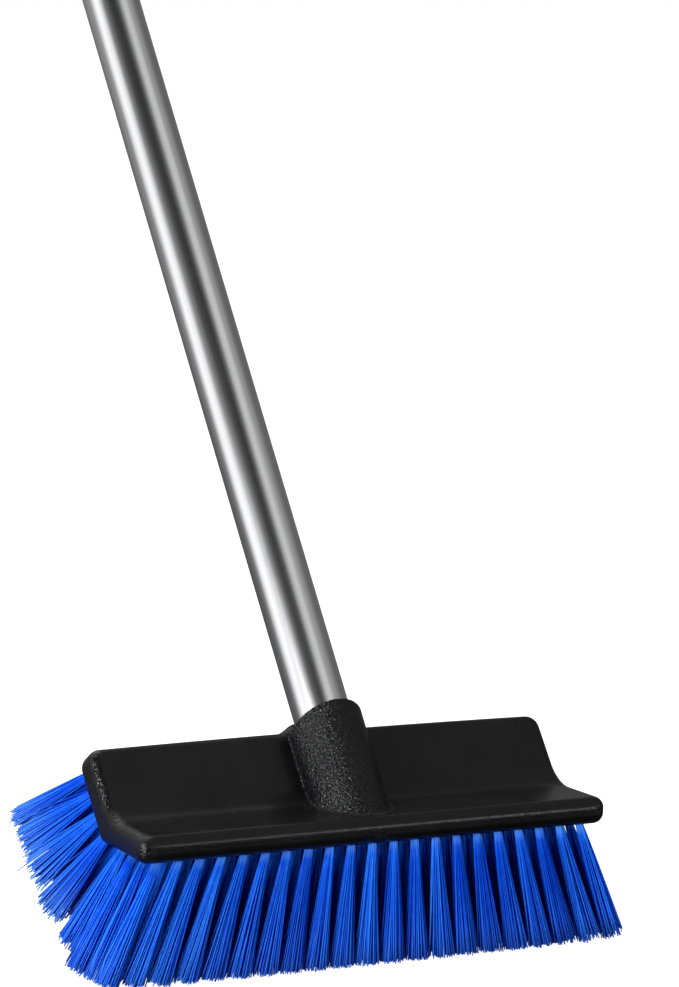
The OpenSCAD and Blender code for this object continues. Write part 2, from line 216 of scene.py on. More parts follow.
def plastic(name, dark, light, roughness, grain, depth, specular=0.5, masked=False):
    """Moulded plastic or rubber with a pebbled grain.

    dark and light are the ends of its colour, grain is in cells to the millimetre and depth
    in millimetres. A masked one is pebbled as far as its mesh's attribute "grain" says, and there
    its pebble tops are painted paler, a painted highlight.
    """
    material, tree, surface = new_material(name)
    place = node(tree, "TexCoord").outputs["Object"]
    broad = node(tree, "TexNoise", {"Vector": place, "Scale": 35.0, "Detail": 3.0}).outputs[0]
    fine = node(tree, "TexNoise", {"Vector": place, "Scale": 1500.0, "Detail": 4.0}).outputs[0]
    cells = node(
        tree,
        "TexVoronoi",
        {"Vector": place, "Scale": 1000.0 * grain, "Smoothness": 0.35, "Randomness": 1.0},
        feature="SMOOTH_F1",
    ).outputs["Distance"]
    slow, quick = maths(tree, "MULTIPLY", broad, 0.6), maths(tree, "MULTIPLY", fine, 0.4)
    mixed = maths(tree, "ADD", slow, quick)
    colour = ramp(tree, mixed, [(0.3, dark), (0.7, light)])
    tree.links.new(colour, surface.inputs["Base Color"])
    rough = maths(tree, "ADD", roughness - 0.05, maths(tree, "MULTIPLY", broad, 0.1))
    tree.links.new(rough, surface.inputs["Roughness"])
    surface.inputs["Specular IOR Level"].default_value = specular
    pebbles, dust = maths(tree, "MULTIPLY", cells, -1.0), maths(tree, "MULTIPLY", fine, 0.35)
    height = maths(tree, "ADD", pebbles, dust)
    if masked:
        grain_and_glint_share = node(tree, "Attribute", attribute_name="grain").outputs["Fac"]
        height = maths(tree, "MULTIPLY", height, grain_and_glint_share)
        # Painted highlight: the pebble tops are painted paler, standing in for light glinting on
        # them
        pebble_glints = ramp(tree, cells, [(0.1, (1.0, 1.0, 1.0)), (0.42, (0.0, 0.0, 0.0))])
        pebble_glints = maths(tree, "MULTIPLY", pebble_glints, grain_and_glint_share)
        glint_colour = tuple(PEBBLE_GLINT_PALENESS * c for c in light)
        mix = node(tree, "Mix", {0: pebble_glints, "A": colour, "B": (*glint_colour, 1.0)}, data_type="RGBA")
        tree.links.new(mix.outputs["Result"], surface.inputs["Base Color"])
    bump = node(tree, "Bump", {"Height": height, "Strength": 1.0, "Distance": depth * MM})
    tree.links.new(bump.outputs[0], surface.inputs["Normal"])
    return material


def metal(name, colour, roughness, streak):
    """Drawn metal: fine streaks along the handle's axis in its roughness and colour."""
    material, tree, surface = new_material(name, metallic=1.0)
    place = node(tree, "TexCoord").outputs["Object"]
    lean = (HANDLE_LEAN, 0.0, 0.0)
    leaned = node(tree, "Mapping", {"Vector": place, "Rotation": lean}).outputs[0]
    drawn = node(tree, "Mapping", {"Vector": leaned, "Scale": (1.0, 1.0, 0.012)}).outputs[0]
    lines = node(tree, "TexNoise", {"Vector": drawn, "Scale": 900.0, "Detail": 3.0}).outputs[0]
    haze = node(tree, "TexNoise", {"Vector": place, "Scale": 30.0, "Detail": 2.0}).outputs[0]
    dim = tuple(0.93 * c for c in colour)
    tree.links.new(ramp(tree, lines, [(0.35, dim), (0.65, colour)]), surface.inputs["Base Color"])
    streaks, clouds = maths(tree, "MULTIPLY", lines, streak), maths(tree, "MULTIPLY", haze, 0.03)
    rough = maths(tree, "ADD", streaks, clouds)
    tree.links.new(maths(tree, "ADD", rough, roughness - streak / 2), surface.inputs["Roughness"])
    bump = node(tree, "Bump", {"Height": lines, "Strength": 0.25, "Distance": 0.01 * MM})
    tree.links.new(bump.outputs[0], surface.inputs["Normal"])
    return material


# Share of the light on a filament that passes through it
SEE_THROUGH = 0.3


def bristle_fibre():
    """Drawn polymer filaments: a tone for each filament, painted paler at the root as a painted
    highlight and at the tip as painted light passing through.

    The meshes' attribute "tone" is 0 to 1 for a filament, and "reach" is 0 to 1 along it.
    """
    material, tree, surface = new_material("bristle_fibre", roughness=0.3)
    tone = node(tree, "Attribute", attribute_name="tone").outputs["Fac"]
    reach = node(tree, "Attribute", attribute_name="reach").outputs["Fac"]
    place = node(tree, "TexCoord").outputs["Object"]
    patch = node(tree, "TexNoise", {"Vector": place, "Scale": 260.0, "Detail": 2.0}).outputs[0]
    own, shared = maths(tree, "MULTIPLY", tone, 0.75), maths(tree, "MULTIPLY", patch, 0.25)
    mixed = maths(tree, "ADD", own, shared)
    blues = [
        (0.0, (0.0, 0.02, 0.36)),
        (0.35, (0.002, 0.056, 0.62)),
        (0.75, (0.016, 0.17, 0.84)),
        (1.0, (0.06, 0.36, 0.98)),
    ]
    body = ramp(tree, mixed, blues)
    # Painted light: the tips are painted paler as a glow of light passing through them, and the
    # roots paler as a painted highlight where they leave their holes
    painted_tip_glow = maths(tree, "MULTIPLY", maths(tree, "POWER", reach, 4.0), 0.6)
    painted_root_highlight = node(tree, "MapRange", {0: reach, 1: 0.02, 2: 0.09, 3: 0.55, 4: 0.0}).outputs[0]
    painted_light_share = maths(tree, "MAXIMUM", painted_tip_glow, painted_root_highlight)
    painted_light_blue = (0.14, 0.42, 1.0, 1.0)
    mix = node(tree, "Mix", {0: painted_light_share, "A": body, "B": painted_light_blue}, data_type="RGBA")
    colour = mix.outputs["Result"]
    tree.links.new(colour, surface.inputs["Base Color"])
    surface.inputs["Specular IOR Level"].default_value = 0.25
    surface.inputs["Specular Tint"].default_value = (0.15, 0.6, 1.0, 1.0)
    through = node(tree, "BsdfTranslucent", {"Color": colour})
    sides = {0: SEE_THROUGH, 1: surface.outputs[0], 2: through.outputs[0]}
    both = node(tree, "MixShader", sides)
    output = next(n for n in tree.nodes if n.type == "OUTPUT_MATERIAL")
    tree.links.new(both.outputs[0], output.inputs["Surface"])
    return material


BLOCK_PLASTIC = plastic(
    "block_plastic",
    (0.001, 0.001, 0.0012),
    (0.003, 0.003, 0.0034),
    roughness=0.25,
    grain=0.95,
    depth=0.6,
    specular=0.22,
    masked=True,
)
FITTING_PLASTIC = plastic(
    "fitting_plastic",
    (0.012, 0.012, 0.013),
    (0.02, 0.02, 0.022),
    roughness=0.38,
    grain=1.6,
    depth=0.05,
)
INNER_PLASTIC = plastic(
    "inner_plastic", (0.62, 0.61, 0.56), (0.72, 0.71, 0.67), roughness=0.4, grain=1.6, depth=0.03
)
GRIP_RUBBER = plastic(
    "grip_rubber",
    (0.01, 0.01, 0.011),
    (0.017, 0.017, 0.018),
    roughness=0.72,
    grain=1.3,
    depth=0.1,
    specular=0.35,
)
BRIGHT_TUBE = metal("bright_tube", (0.77, 0.77, 0.78), roughness=0.2, streak=0.05)
STEEL_WIRE = metal("steel_wire", (0.56, 0.56, 0.58), roughness=0.3, streak=0.08)
BRISTLE = bristle_fibre()

# ---------------------------------------------------------------- mesh tools


def make_piece(
    name, points, faces, material, body, nodes, normals=None, sharp=40.0, merge=False
):
    """One smooth-shaded mesh piece that rides on a body and stands for CAD nodes.

    normals are given for each point, or edges are kept sharp from an angle of sharp degrees.
    merge joins points that coincide.
    """
    mesh = bpy.data.meshes.new(name)
    mesh.from_pydata((np.asarray(points) * MM).tolist(), [], [list(map(int, f)) for f in faces])
    mesh.update()
    if merge:
        editable = bmesh.new()
        editable.from_mesh(mesh)
        bmesh.ops.remove_doubles(editable, verts=editable.verts, dist=1e-7)
        editable.to_mesh(mesh)
        editable.free()
    mesh.shade_smooth()
    if normals is not None:
        mesh.normals_split_custom_set_from_vertices(np.asarray(normals).tolist())
    elif sharp:
        mesh.set_sharp_from_angle(angle=math.radians(sharp))
    mesh.materials.append(material)
    piece = bpy.data.objects.new(name, mesh)
    scene.collection.objects.link(piece)
    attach(piece, body)
    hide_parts(*nodes)
    return piece


def overlap(a, b, r):
    """Where both fields are negative, with the outer edge rounded."""
    return np.minimum(-r, np.maximum(a, b)) + np.hypot(np.maximum(a + r, 0), np.maximum(b + r, 0))


def joined(a, b, r):
    """Where either field is negative, with the inner corner filled."""
    return np.maximum(r, np.minimum(a, b)) - np.hypot(np.maximum(r - a, 0), np.maximum(r - b, 0))


def smoothstep(value, low, high):
    """0 up to low, 1 from high, and a smooth rise between them."""
    t = np.clip((value - low) / (high - low), 0, 1)
    return t * t * (3 - 2 * t)


def gradient(field, points, h=0.03):
    """Slope of a field by central differences."""
    slope = np.empty_like(points)
    for axis in range(3):
        step = np.zeros(3)
        step[axis] = h
        slope[:, axis] = (field(points + step) - field(points - step)) / (2 * h)
    return slope


# How often a field's mesh is moved onto its surface
SETTLING_ROUNDS = 5


def surface_of(field, low, high, step):
    """Points, quads and normals of the surface on which a field is zero."""
    low = np.asarray(low, float)
    sizes = [int(math.ceil((b - a) / step)) + 1 for a, b in zip(low, high)]
    xs, ys, zs = (low[k] + step * np.arange(sizes[k]) for k in range(3))
    values = np.empty(sizes)
    gx, gy = np.meshgrid(xs, ys, indexing="ij")
    for k, z in enumerate(zs):
        layer = np.stack([gx, gy, np.full_like(gx, z)], -1).reshape(-1, 3)
        values[:, :, k] = field(layer).reshape(gx.shape)
    inside = values < 0
    corners = [np.array([i, j, k]) for i in (0, 1) for j in (0, 1) for k in (0, 1)]
    count = np.zeros([n - 1 for n in sizes], int)
    for i, j, k in corners:
        count += inside[i : sizes[0] - 1 + i, j : sizes[1] - 1 + j, k : sizes[2] - 1 + k]
    active = (count > 0) & (count < 8)
    cells = np.argwhere(active)
    index = np.full(active.shape, -1)
    index[active] = np.arange(len(cells))
    total = np.zeros((len(cells), 3))
    hits = np.zeros(len(cells))
    for corner in corners:
        for axis in range(3):
            if corner[axis]:
                continue
            unit = np.eye(3, dtype=int)[axis]
            near = values[tuple((cells + corner).T)]
            far = values[tuple((cells + corner + unit).T)]
            crossing = (near < 0) != (far < 0)
            share = np.where(crossing, near / np.where(crossing, near - far, 1.0), 0.0)
            total += np.where(crossing[:, None], corner + share[:, None] * unit, 0.0)
            hits += crossing
    points = low + (cells + total / hits[:, None]) * step
    quads = []
    for axis in range(3):
        u, v = (axis + 1) % 3, (axis + 2) % 3
        start = np.take(inside, range(sizes[axis] - 1), axis)
        end = np.take(inside, range(1, sizes[axis]), axis)
        edges = np.argwhere(start != end)
        keep = (edges[:, u] > 0) & (edges[:, v] > 0)
        keep &= (edges[:, u] < sizes[u] - 1) & (edges[:, v] < sizes[v] - 1)
        edges = edges[keep]
        ring = []
        for du, dv in ((0, 0), (1, 0), (1, 1), (0, 1)):
            cell = edges.copy()
            cell[:, u] -= du
            cell[:, v] -= dv
            ring.append(index[tuple(cell.T)])
        ring = np.stack(ring, 1)
        outward = start[tuple(edges.T)]
        quads.append(np.where(outward[:, None], ring, ring[:, ::-1]))
    quads = np.concatenate(quads)
    for _ in range(SETTLING_ROUNDS):
        value = np.clip(field(points), -0.6 * step, 0.6 * step)
        slope = gradient(field, points)
        points = points - (value / np.maximum((slope**2).sum(1), 0.05))[:, None] * slope
    slope = gradient(field, points)
    normals = slope / np.maximum(np.linalg.norm(slope, axis=1), 1e-9)[:, None]
    return points, quads, normals


def rounded_outline(corners, arc_steps=4):
    """A closed outline of (radius, along, rounding) corners, with each corner turned by an arc."""
    made = []
    count = len(corners)
    for k, (r, s, rounding) in enumerate(corners):
        here = np.array([r, s])
        before = np.array(corners[k - 1][:2]) - here
        after = np.array(corners[(k + 1) % count][:2]) - here
        if rounding <= 0:
            made.append(here)
            continue
        u, v = before / np.linalg.norm(before), after / np.linalg.norm(after)
        half = math.acos(float(np.clip(u @ v, -1, 1))) / 2
        reach = min(
            rounding / math.tan(half), 0.48 * np.linalg.norm(before), 0.48 * np.linalg.norm(after)
        )
        radius = reach * math.tan(half)
        centre = here + (u + v) / np.linalg.norm(u + v) * (radius / math.sin(half))
        first, last = here + u * reach - centre, here + v * reach - centre
        for t in np.linspace(0, 1, arc_steps + 1):
            arm = first * (1 - t) + last * t
            made.append(centre + arm / np.linalg.norm(arm) * radius)
    return made


def turned(
    name, corners, material, body, nodes, segments=128, shape=None, gap=None, place=on_handle
):
    """A turned piece on the handle's axis, from a closed outline.

    corners are (radius, along, rounding). shape(radius, along, angle) may change the radii.
    gap is an angle left open at the back, and place puts the points into the row frame.
    """
    outline = np.array(rounded_outline(corners))
    ring = len(outline)
    if gap:
        angles = math.pi / 2 + gap / 2 + np.linspace(0, 2 * math.pi - gap, segments + 1)
    else:
        angles = np.linspace(0, 2 * math.pi, segments, endpoint=False)
    radius = np.repeat(outline[:, 0][None], len(angles), 0)
    along = np.repeat(outline[:, 1][None], len(angles), 0)
    turn = np.repeat(angles[:, None], ring, 1)
    if shape:
        radius = shape(radius, along, turn)
    local = np.stack([radius * np.cos(turn), radius * np.sin(turn), along], -1).reshape(-1, 3)
    faces = []
    for a in range(segments):
        b = (a + 1) % len(angles)
        for k in range(ring):
            n = (k + 1) % ring
            if max(outline[k, 0], outline[n, 0]) > 0:
                faces.append((a * ring + k, b * ring + k, b * ring + n, a * ring + n))
    if gap:
        faces.append(tuple(range(ring)))
        faces.append(tuple(segments * ring + k for k in reversed(range(ring))))
    before = np.roll(outline, 1, axis=0)
    if (before[:, 0] * outline[:, 1] - outline[:, 0] * before[:, 1]).sum() < 0:
        faces = [f[::-1] for f in faces]
    closed = outline[:, 0].min() <= 0
    return make_piece(name, place(local), faces, material, body, nodes, merge=closed)


# ---------------------------------------------------------------- the block


def tuft_axis(splay, down):
    """Direction of a tuft, and the unit vectors along and across its row."""
    s, c = math.sin(splay), math.cos(splay)
    flat, drop = math.cos(down), math.sin(down)
    out = np.array([s, c * flat, -c * drop])
    side = np.array([c, -s * flat, s * drop])
    return out, side, np.cross(out, side)


# Each row's face, number, middle root and angle down
ROWS = [
    ("flange", n, np.array([0.0, y, FLANGE_FLOOR]), math.radians(a))
    for n, (y, a) in enumerate(FLANGE_ROWS)
]
ROWS += [
    ("panel", n, panel_point(rise), math.radians(a)) for n, (rise, a) in enumerate(PANEL_ROWS)
]

# The socket's boss, and its rim, which is cut aslant
RIM_DROP = 14.0
RIM_TILT = math.radians(19.0)
BOSS_RADIUS = 19.0
BOSS_BACK = 9.0
BOSS_SINK = 5.0
# How far the panel's top edge swells up to the socket's rim, between which half widths it
# falls, and how much lower the edge is at its ends
SWELL = 5.0
SWELL_FROM = 9.5
SWELL_TO = 22.0
CROWN = 1.0
# The block's roundings: between panel and flange inside and outside, then corners and edges
INNER_FILLET = 7.0
OUTER_ROUNDING = 2.6
FRONT_CORNER = 6.0
TOP_CORNER = 7.0
EDGE_ROUNDING = 5.4


def thread_ridge(angle, along):
    """Share, 0 to 1, of a right-hand thread's ridge at a place on its cylinder."""
    phase = (along / THREAD_PITCH - angle / (2 * math.pi)) % 1.0
    return smoothstep(-np.abs(phase - 0.5), -0.32, -0.18)


def tuft_holes(x, y, z):
    """Field of the tuft holes; x is the distance from the middle."""
    number = np.minimum(np.rint(x / TUFT_PITCH), TUFTS_EACH_SIDE).astype(int)
    splay = END_SPLAY * number / TUFTS_EACH_SIDE
    depth = np.array(HOLE_DEPTHS)[number]
    nearest = np.full(len(x), np.inf)
    for _, _, root, down in ROWS:
        dx, dy, dz = x - number * TUFT_PITCH, y - root[1], z - root[2]
        oy, oz = np.cos(splay) * math.cos(down), -np.cos(splay) * math.sin(down)
        out = dx * np.sin(splay) + dy * oy + dz * oz
        square = dx * dx + dy * dy + dz * dz - out * out
        wall = np.sqrt(np.maximum(square, 0)) - TUFT_HOLE_RADIUS
        hole = np.maximum(np.maximum(wall, -depth - out), out - 6.0)
        nearest = np.minimum(nearest, hole)
    return nearest


def block_field(p):
    """Field of the moulded block: negative inside."""
    x, y, z = np.abs(p[:, 0]), p[:, 1], p[:, 2]
    sin, cos = math.sin(PANEL_LEAN), math.cos(PANEL_LEAN)
    back = (y - BEND_Y) * cos - (z - FLANGE_FLOOR) * sin
    rise = (y - BEND_Y) * sin + (z - FLANGE_FLOOR) * cos
    inner = joined(z - FLANGE_FLOOR - FLANGE_THICKNESS, -PANEL_THICKNESS - back, INNER_FILLET)
    outer = overlap(FLANGE_FLOOR - z, back, OUTER_ROUNDING)
    forward_share = np.maximum((FOOT_Y - y) / (FOOT_Y - FLANGE_FRONT), 0)
    upward_share = np.maximum((rise - FOOT_RISE) / (PANEL_HEIGHT - FOOT_RISE), 0)
    flare = forward_share * (FRONT_HALF_WIDTH - NECK_HALF_WIDTH)
    taper = upward_share * (NECK_HALF_WIDTH - TOP_HALF_WIDTH)
    end = x - (NECK_HALF_WIDTH + flare - taper)
    swell = SWELL * (1 - smoothstep(x, SWELL_FROM, SWELL_TO))
    crown = CROWN * (x / TOP_HALF_WIDTH) ** 2 - swell
    outline = overlap(end, FLANGE_FRONT - y, FRONT_CORNER)
    outline = overlap(outline, rise - PANEL_HEIGHT + crown, TOP_CORNER)
    slab = overlap(np.maximum(inner, outer), outline, EDGE_ROUNDING)
    q = in_handle(p)
    hx, hy, hs = q[:, 0], q[:, 1], q[:, 2]
    rho = np.hypot(hx, hy)
    rim = (hs + RIM_DROP) * math.cos(RIM_TILT) + hy * math.sin(RIM_TILT)
    sunk = np.maximum(hy - BOSS_BACK, FLANGE_FLOOR + BOSS_SINK - z)
    boss = np.maximum(overlap(rho - BOSS_RADIUS, rim, 1.0), sunk)
    solid = joined(slab, boss, 1.2)
    # Half a pitch on, so that the stud's ridges lie in the block's grooves
    ridge = thread_ridge(np.arctan2(hy, hx), hs + THREAD_PITCH / 2)
    socket = np.maximum(rho - SOCKET_RADIUS, SOCKET_FLOOR - hs)
    thread = np.maximum(rho - THREAD_BORE + THREAD_DEPTH * ridge, THREAD_END - hs)
    solid = np.maximum(overlap(solid, -socket, 0.7), -thread)
    return np.maximum(solid, -tuft_holes(x, y, z))


block_points, block_quads, block_normals = surface_of(
    block_field, (-134.0, -19.0, 59.5), (134.0, 60.0, 126.0), 0.95
)
moulded_block = make_piece(
    "moulded_block",
    block_points,
    block_quads,
    BLOCK_PLASTIC,
    "head",
    ["block"],
    block_normals,
)
# The grain, and the painted highlight on the pebble tops that goes with it, is full on the boss,
# about half on the block's ends and faint elsewhere
FAINT_GRAIN = 0.1
END_GRAIN = 0.45
at_handle = in_handle(block_points)
from_axis = np.hypot(at_handle[:, 0], at_handle[:, 1])
on_boss = smoothstep(-from_axis, -BOSS_RADIUS - 2.0, -BOSS_RADIUS - 0.3)
on_end = smoothstep(np.abs(block_points[:, 0]), NECK_HALF_WIDTH - 6.5, NECK_HALF_WIDTH - 2.0)
block_grain_and_glint = FAINT_GRAIN + (1 - FAINT_GRAIN) * np.maximum(on_boss, END_GRAIN * on_end)
grain_attribute = moulded_block.data.attributes.new("grain", "FLOAT", "POINT")
grain_attribute.data.foreach_set("value", block_grain_and_glint.astype(np.float32))

# ---------------------------------------------------------------- the bristles

FILAMENT_RADIUS = 0.33
SECTIONS = 6
SIDES = 4
# Half the width of a tuft's tip along its row, and how much less it is at the row's ends
HALF_FAN = 6.9
END_FAN_LOSS = 0.8
# Rows that point down by less than this have shorter tufts, turned in, at their ends
LEANING = math.radians(80.0)
END_LENGTH_LOSS = 0.12
END_TURN_IN = 2.5
# How far tips wander from their places, and the share of strays, on each face
WANDER = {"flange": 0.2, "panel": 0.85}
STRAYS = {"flange": 0.02, "panel": 0.04}
STRAY_WANDER = 5.0
# How far along the range of painted tip glow the flange's bristles reach, so that their tips are
# painted less pale
FLANGE_REACH = 0.75
GOLDEN_ANGLE = 2.399963
# Filaments start this deep in their hole, and a little narrower along the row
ROOT_DEPTH = 2.0
ROOT_NARROWING = 0.8
# The flange's bristles end this high above the floor, or up to the scatter higher
TRIM_LEVEL = 0.3
TRIM_SCATTER = 1.2
# How far a filament bows from a straight line
BOW = 0.22
# For each row: filaments to a tuft, and the middle and half depth of the tip's opening, which
# are forwards on the flange and downwards on the panel
TUFT_SHAPES = {
    ("flange", 0): (72, 0.0, 4.6),
    ("flange", 1): (64, 0.0, 5.0),
    ("flange", 2): (84, -1.5, 7.5),
    ("flange", 3): (100, 0.0, 8.5),
    ("panel", 3): (110, 0.0, 9.5),
    ("panel", 2): (105, 0.0, 9.8),
    ("panel", 1): (105, 1.0, 9.8),
    ("panel", 0): (95, 9.3, 5.2),
}
# The CAD's box, which the bristles stay in
BOX_LOW = np.array(cad_box[0]) / MM
BOX_HIGH = np.array(cad_box[1]) / MM


def tuft_filaments(root, splay, down, face, count, middle, half):
    """Points of one tuft's filaments, as (filament, section, 3), and its side and across axes."""
    out, side, across = tuft_axis(splay, down)
    k = np.arange(count)
    spread = np.sqrt((k + 0.5) / count)
    angle = k * GOLDEN_ANGLE + rng.uniform(0, 2 * math.pi)
    u, v = spread * np.cos(angle), spread * np.sin(angle)
    base_radius = TUFT_HOLE_RADIUS - FILAMENT_RADIUS
    place = ROOT_NARROWING * u[:, None] * side + v[:, None] * across
    start = root - ROOT_DEPTH * out + base_radius * place
    wander = rng.normal(0, WANDER[face], (count, 2))
    stray = rng.random(count) < STRAYS[face]
    wander[stray] *= STRAY_WANDER
    at_end = (splay / END_SPLAY) ** 4
    fan = (HALF_FAN - END_FAN_LOSS * at_end) * u + wander[:, 0]
    thick = middle + half * v + wander[:, 1]
    length = TUFT_LENGTH * rng.uniform(0.95, 1.0, count)
    if down < LEANING:
        length *= 1 - END_LENGTH_LOSS * at_end
        fan -= END_TURN_IN * at_end * np.sign(splay)
    length[stray] *= rng.uniform(0.8, 1.04, stray.sum())
    tip = root + length[:, None] * out + fan[:, None] * side + thick[:, None] * across
    if face == "flange":
        level = TRIM_LEVEL + TRIM_SCATTER * rng.random(count) ** 2
        share = (start[:, 2] - level) / (start[:, 2] - tip[:, 2])
        tip = start + np.minimum(share, 1.03)[:, None] * (tip - start)
    bow = rng.normal(0, BOW, (count, 2))
    bow[:, 0] -= 0.1 * u
    t = np.linspace(0, 1, SECTIONS)[None, :, None]
    chord = start[:, None] * (1 - t) + tip[:, None] * t
    belly = (bow[:, :1] * side + bow[:, 1:] * across)[:, None]
    path = chord + 4 * t * (1 - t) * belly
    margin = FILAMENT_RADIUS + 0.02
    path[..., 0] = np.clip(path[..., 0], BOX_LOW[0] + margin, BOX_HIGH[0] - margin)
    path[..., 1] = np.clip(path[..., 1], BOX_LOW[1] + margin, BOX_HIGH[1] - margin)
    path[..., 2] = np.maximum(path[..., 2], margin)
    return path, side, across


def bristle_row(name, root, down, face, node_name, shape):
    """One row of tufts as real filaments, each a tapered four-sided strand."""
    points, tones = [], []
    filaments = shape[0]
    for i in range(-TUFTS_EACH_SIDE, TUFTS_EACH_SIDE + 1):
        splay = END_SPLAY * i / TUFTS_EACH_SIDE
        tuft_root = root + i * TUFT_PITCH * ACROSS
        path, side, across = tuft_filaments(tuft_root, splay, down, face, *shape)
        turns = np.arange(SIDES) * 2 * math.pi / SIDES
        twist = rng.uniform(0, math.pi / 2, (filaments, 1, 1)) + turns
        radius = FILAMENT_RADIUS * np.linspace(0.9, 1.0, SECTIONS)[None, :, None]
        sideways, outwards = radius * np.cos(twist), radius * np.sin(twist)
        offset = sideways[..., None] * side + outwards[..., None] * across
        points.append(path[:, :, None, :] + offset)
        tuft_tone = rng.normal(0, 0.09)
        tones.append(np.clip(rng.beta(4.5, 4.5, filaments) + tuft_tone, 0, 1))
    points = np.concatenate(points)
    tones = np.concatenate(tones)
    count = len(points)
    first = np.arange(count)[:, None, None, None] * SECTIONS * SIDES
    level = np.arange(SECTIONS - 1)[None, :, None, None] * SIDES
    corner = np.arange(SIDES)[None, None, :, None]
    after = (corner + 1) % SIDES
    walls = np.concatenate([corner, after, after + SIDES, corner + SIDES], -1)
    walls = (first + level + walls).reshape(-1, 4)
    feet = first[:, 0, 0] + np.arange(SIDES)[::-1]
    caps = first[:, 0, 0] + (SECTIONS - 1) * SIDES + np.arange(SIDES)
    faces = np.concatenate([walls, caps, feet])
    piece = make_piece(
        name, points.reshape(-1, 3), faces, BRISTLE, "head", [node_name], sharp=None
    )
    reach = np.broadcast_to(np.linspace(0, 1, SECTIONS)[None, :, None], points.shape[:3])
    tone = np.broadcast_to(tones[:, None, None], points.shape[:3])
    # The flange's bristles get less of the painted tip glow
    if face == "flange":
        reach = FLANGE_REACH * reach
    for label, data in (("tone", tone), ("reach", reach)):
        attribute = piece.data.attributes.new(label, "FLOAT", "POINT")
        attribute.data.foreach_set("value", np.ascontiguousarray(data, np.float32).ravel())


for row_face, number, row_root, row_down in ROWS:
    bristle_row(
        f"{row_face}_bristles_{number + 1}",
        row_root,
        row_down,
        row_face,
        f"{row_face}_tufts_{number + 1}",
        TUFT_SHAPES[row_face, number],
    )

# ---------------------------------------------------------------- the pole


def box_outline(inner, outer, low, high, rounding):
    """Outline of a plain ring between two radii and two heights."""
    return [(r, s, rounding) for r, s in ((inner, low), (outer, low), (outer, high), (inner, high))]


def steps(radius, low, high, count):
    """Plain outline points along a wall, for a surface that a shape function changes."""
    return [(radius, s, 0) for s in np.linspace(low, high, count)]


turned(
    "lower_pole_tube",
    box_outline(LOWER_TUBE_BORE, LOWER_TUBE_RADIUS, TUBE_FOOT, LOWER_TUBE_TOP, 0.25),
    BRIGHT_TUBE,
    "lower_pole",
    ["lower_tube"],
)
turned(
    "upper_pole_tube",
    box_outline(UPPER_TUBE_BORE, UPPER_TUBE_RADIUS, UPPER_TUBE_FOOT, UPPER_TUBE_TOP, 0.25),
    BRIGHT_TUBE,
    "upper_pole",
    ["upper_tube"],
)
turned(
    "socket_washer",
    box_outline(WASHER_BORE, SHOULDER_RADIUS, SOCKET_FLOOR, SHOULDER_FLOOR - CLEARANCE, 0.2),
    INNER_PLASTIC,
    "washer",
    ["thrust_washer"],
)
turned(
    "pole_guide_bush",
    [
        (BUSH_BORE, UPPER_TUBE_FOOT - BUSH_LENGTH, 0.5),
        (BUSH_RADIUS, UPPER_TUBE_FOOT - BUSH_LENGTH, 0.8),
        (BUSH_RADIUS, UPPER_TUBE_FOOT, 0.3),
        (UPPER_TUBE_BORE, UPPER_TUBE_FOOT, 0),
        (UPPER_TUBE_BORE, UPPER_TUBE_FOOT + BUSH_SPIGOT, 0.4),
        (BUSH_BORE, UPPER_TUBE_FOOT + BUSH_SPIGOT, 0.4),
    ],
    INNER_PLASTIC,
    "upper_pole",
    ["guide_bush"],
)

# Depth of the thread cut into the stud
THREAD_CUT = 1.05


def stud_shape(radius, along, angle):
    """Cuts the thread into the tip's stud."""
    fade = smoothstep(along, -48.0, -46.2) * smoothstep(-along, 30.6, 31.8)
    depth = THREAD_CUT * (1 - thread_ridge(angle, along) * fade)
    on_stud = (radius > STUD_RADIUS - 0.1) & (along < SHOULDER_FLOOR)
    return radius - np.where(on_stud, depth, 0.0)


turned(
    "threaded_tip",
    [(0, STUD_END, 0), (STUD_RADIUS - 0.4, STUD_END, 0.4)]
    + steps(STUD_RADIUS, STUD_END + 0.5, SHOULDER_FLOOR - 0.3, 70)
    + [
        (STUD_RADIUS, SHOULDER_FLOOR, 0),
        (SHOULDER_RADIUS, SHOULDER_FLOOR, 0.4),
        (SHOULDER_RADIUS, TUBE_FOOT, 0.1),
        (LOWER_TUBE_BORE, TUBE_FOOT, 0),
        (LOWER_TUBE_BORE, INSERT_TOP, 0.6),
        (CORE_RADIUS, INSERT_TOP, 0.3),
        (CORE_RADIUS, CORE_FLOOR, 0.5),
        (0, CORE_FLOOR, 0),
    ],
    FITTING_PLASTIC,
    "lower_pole",
    ["tip_plug"],
    shape=stud_shape,
)

RIVET_HEIGHT = -18.0
SHANK_RADIUS = 2.0
HEAD_RADIUS = 2.6


def at_rivet(local):
    """Places a small turned piece on the tube's back, square to the handle's axis."""
    return on_handle(np.stack([local[:, 0], local[:, 2], RIVET_HEIGHT - local[:, 1]], -1))


turned(
    "domed_rivet",
    [
        (0, 8.0, 0),
        (SHANK_RADIUS, 8.0, 0.2),
        (SHANK_RADIUS, 13.9, 0),
        (HEAD_RADIUS, 14.0, 0.1),
        (HEAD_RADIUS, 14.2, 0.2),
        (HEAD_RADIUS / 2, 14.42, 0.8),
        (0, 14.45, 0),
    ],
    STEEL_WIRE,
    "lower_pole",
    ["tip_rivet"],
    segments=32,
    place=at_rivet,
)

COLLAR_RIBS = 40
RIB_DEPTH = 0.35


def collar_shape(radius, along, angle):
    """Presses fine grip ribs into the collar's waist."""
    fade = smoothstep(along, 562.0, 564.0) * smoothstep(-along, -592.0, -590.0)
    ribs = RIB_DEPTH * (0.5 + 0.5 * np.cos(COLLAR_RIBS * angle)) * fade
    on_waist = (radius > COLLAR_RADIUS - 0.4) & (along < SPIGOT_BOTTOM - 1.0)
    return np.where(on_waist, radius - ribs, radius)


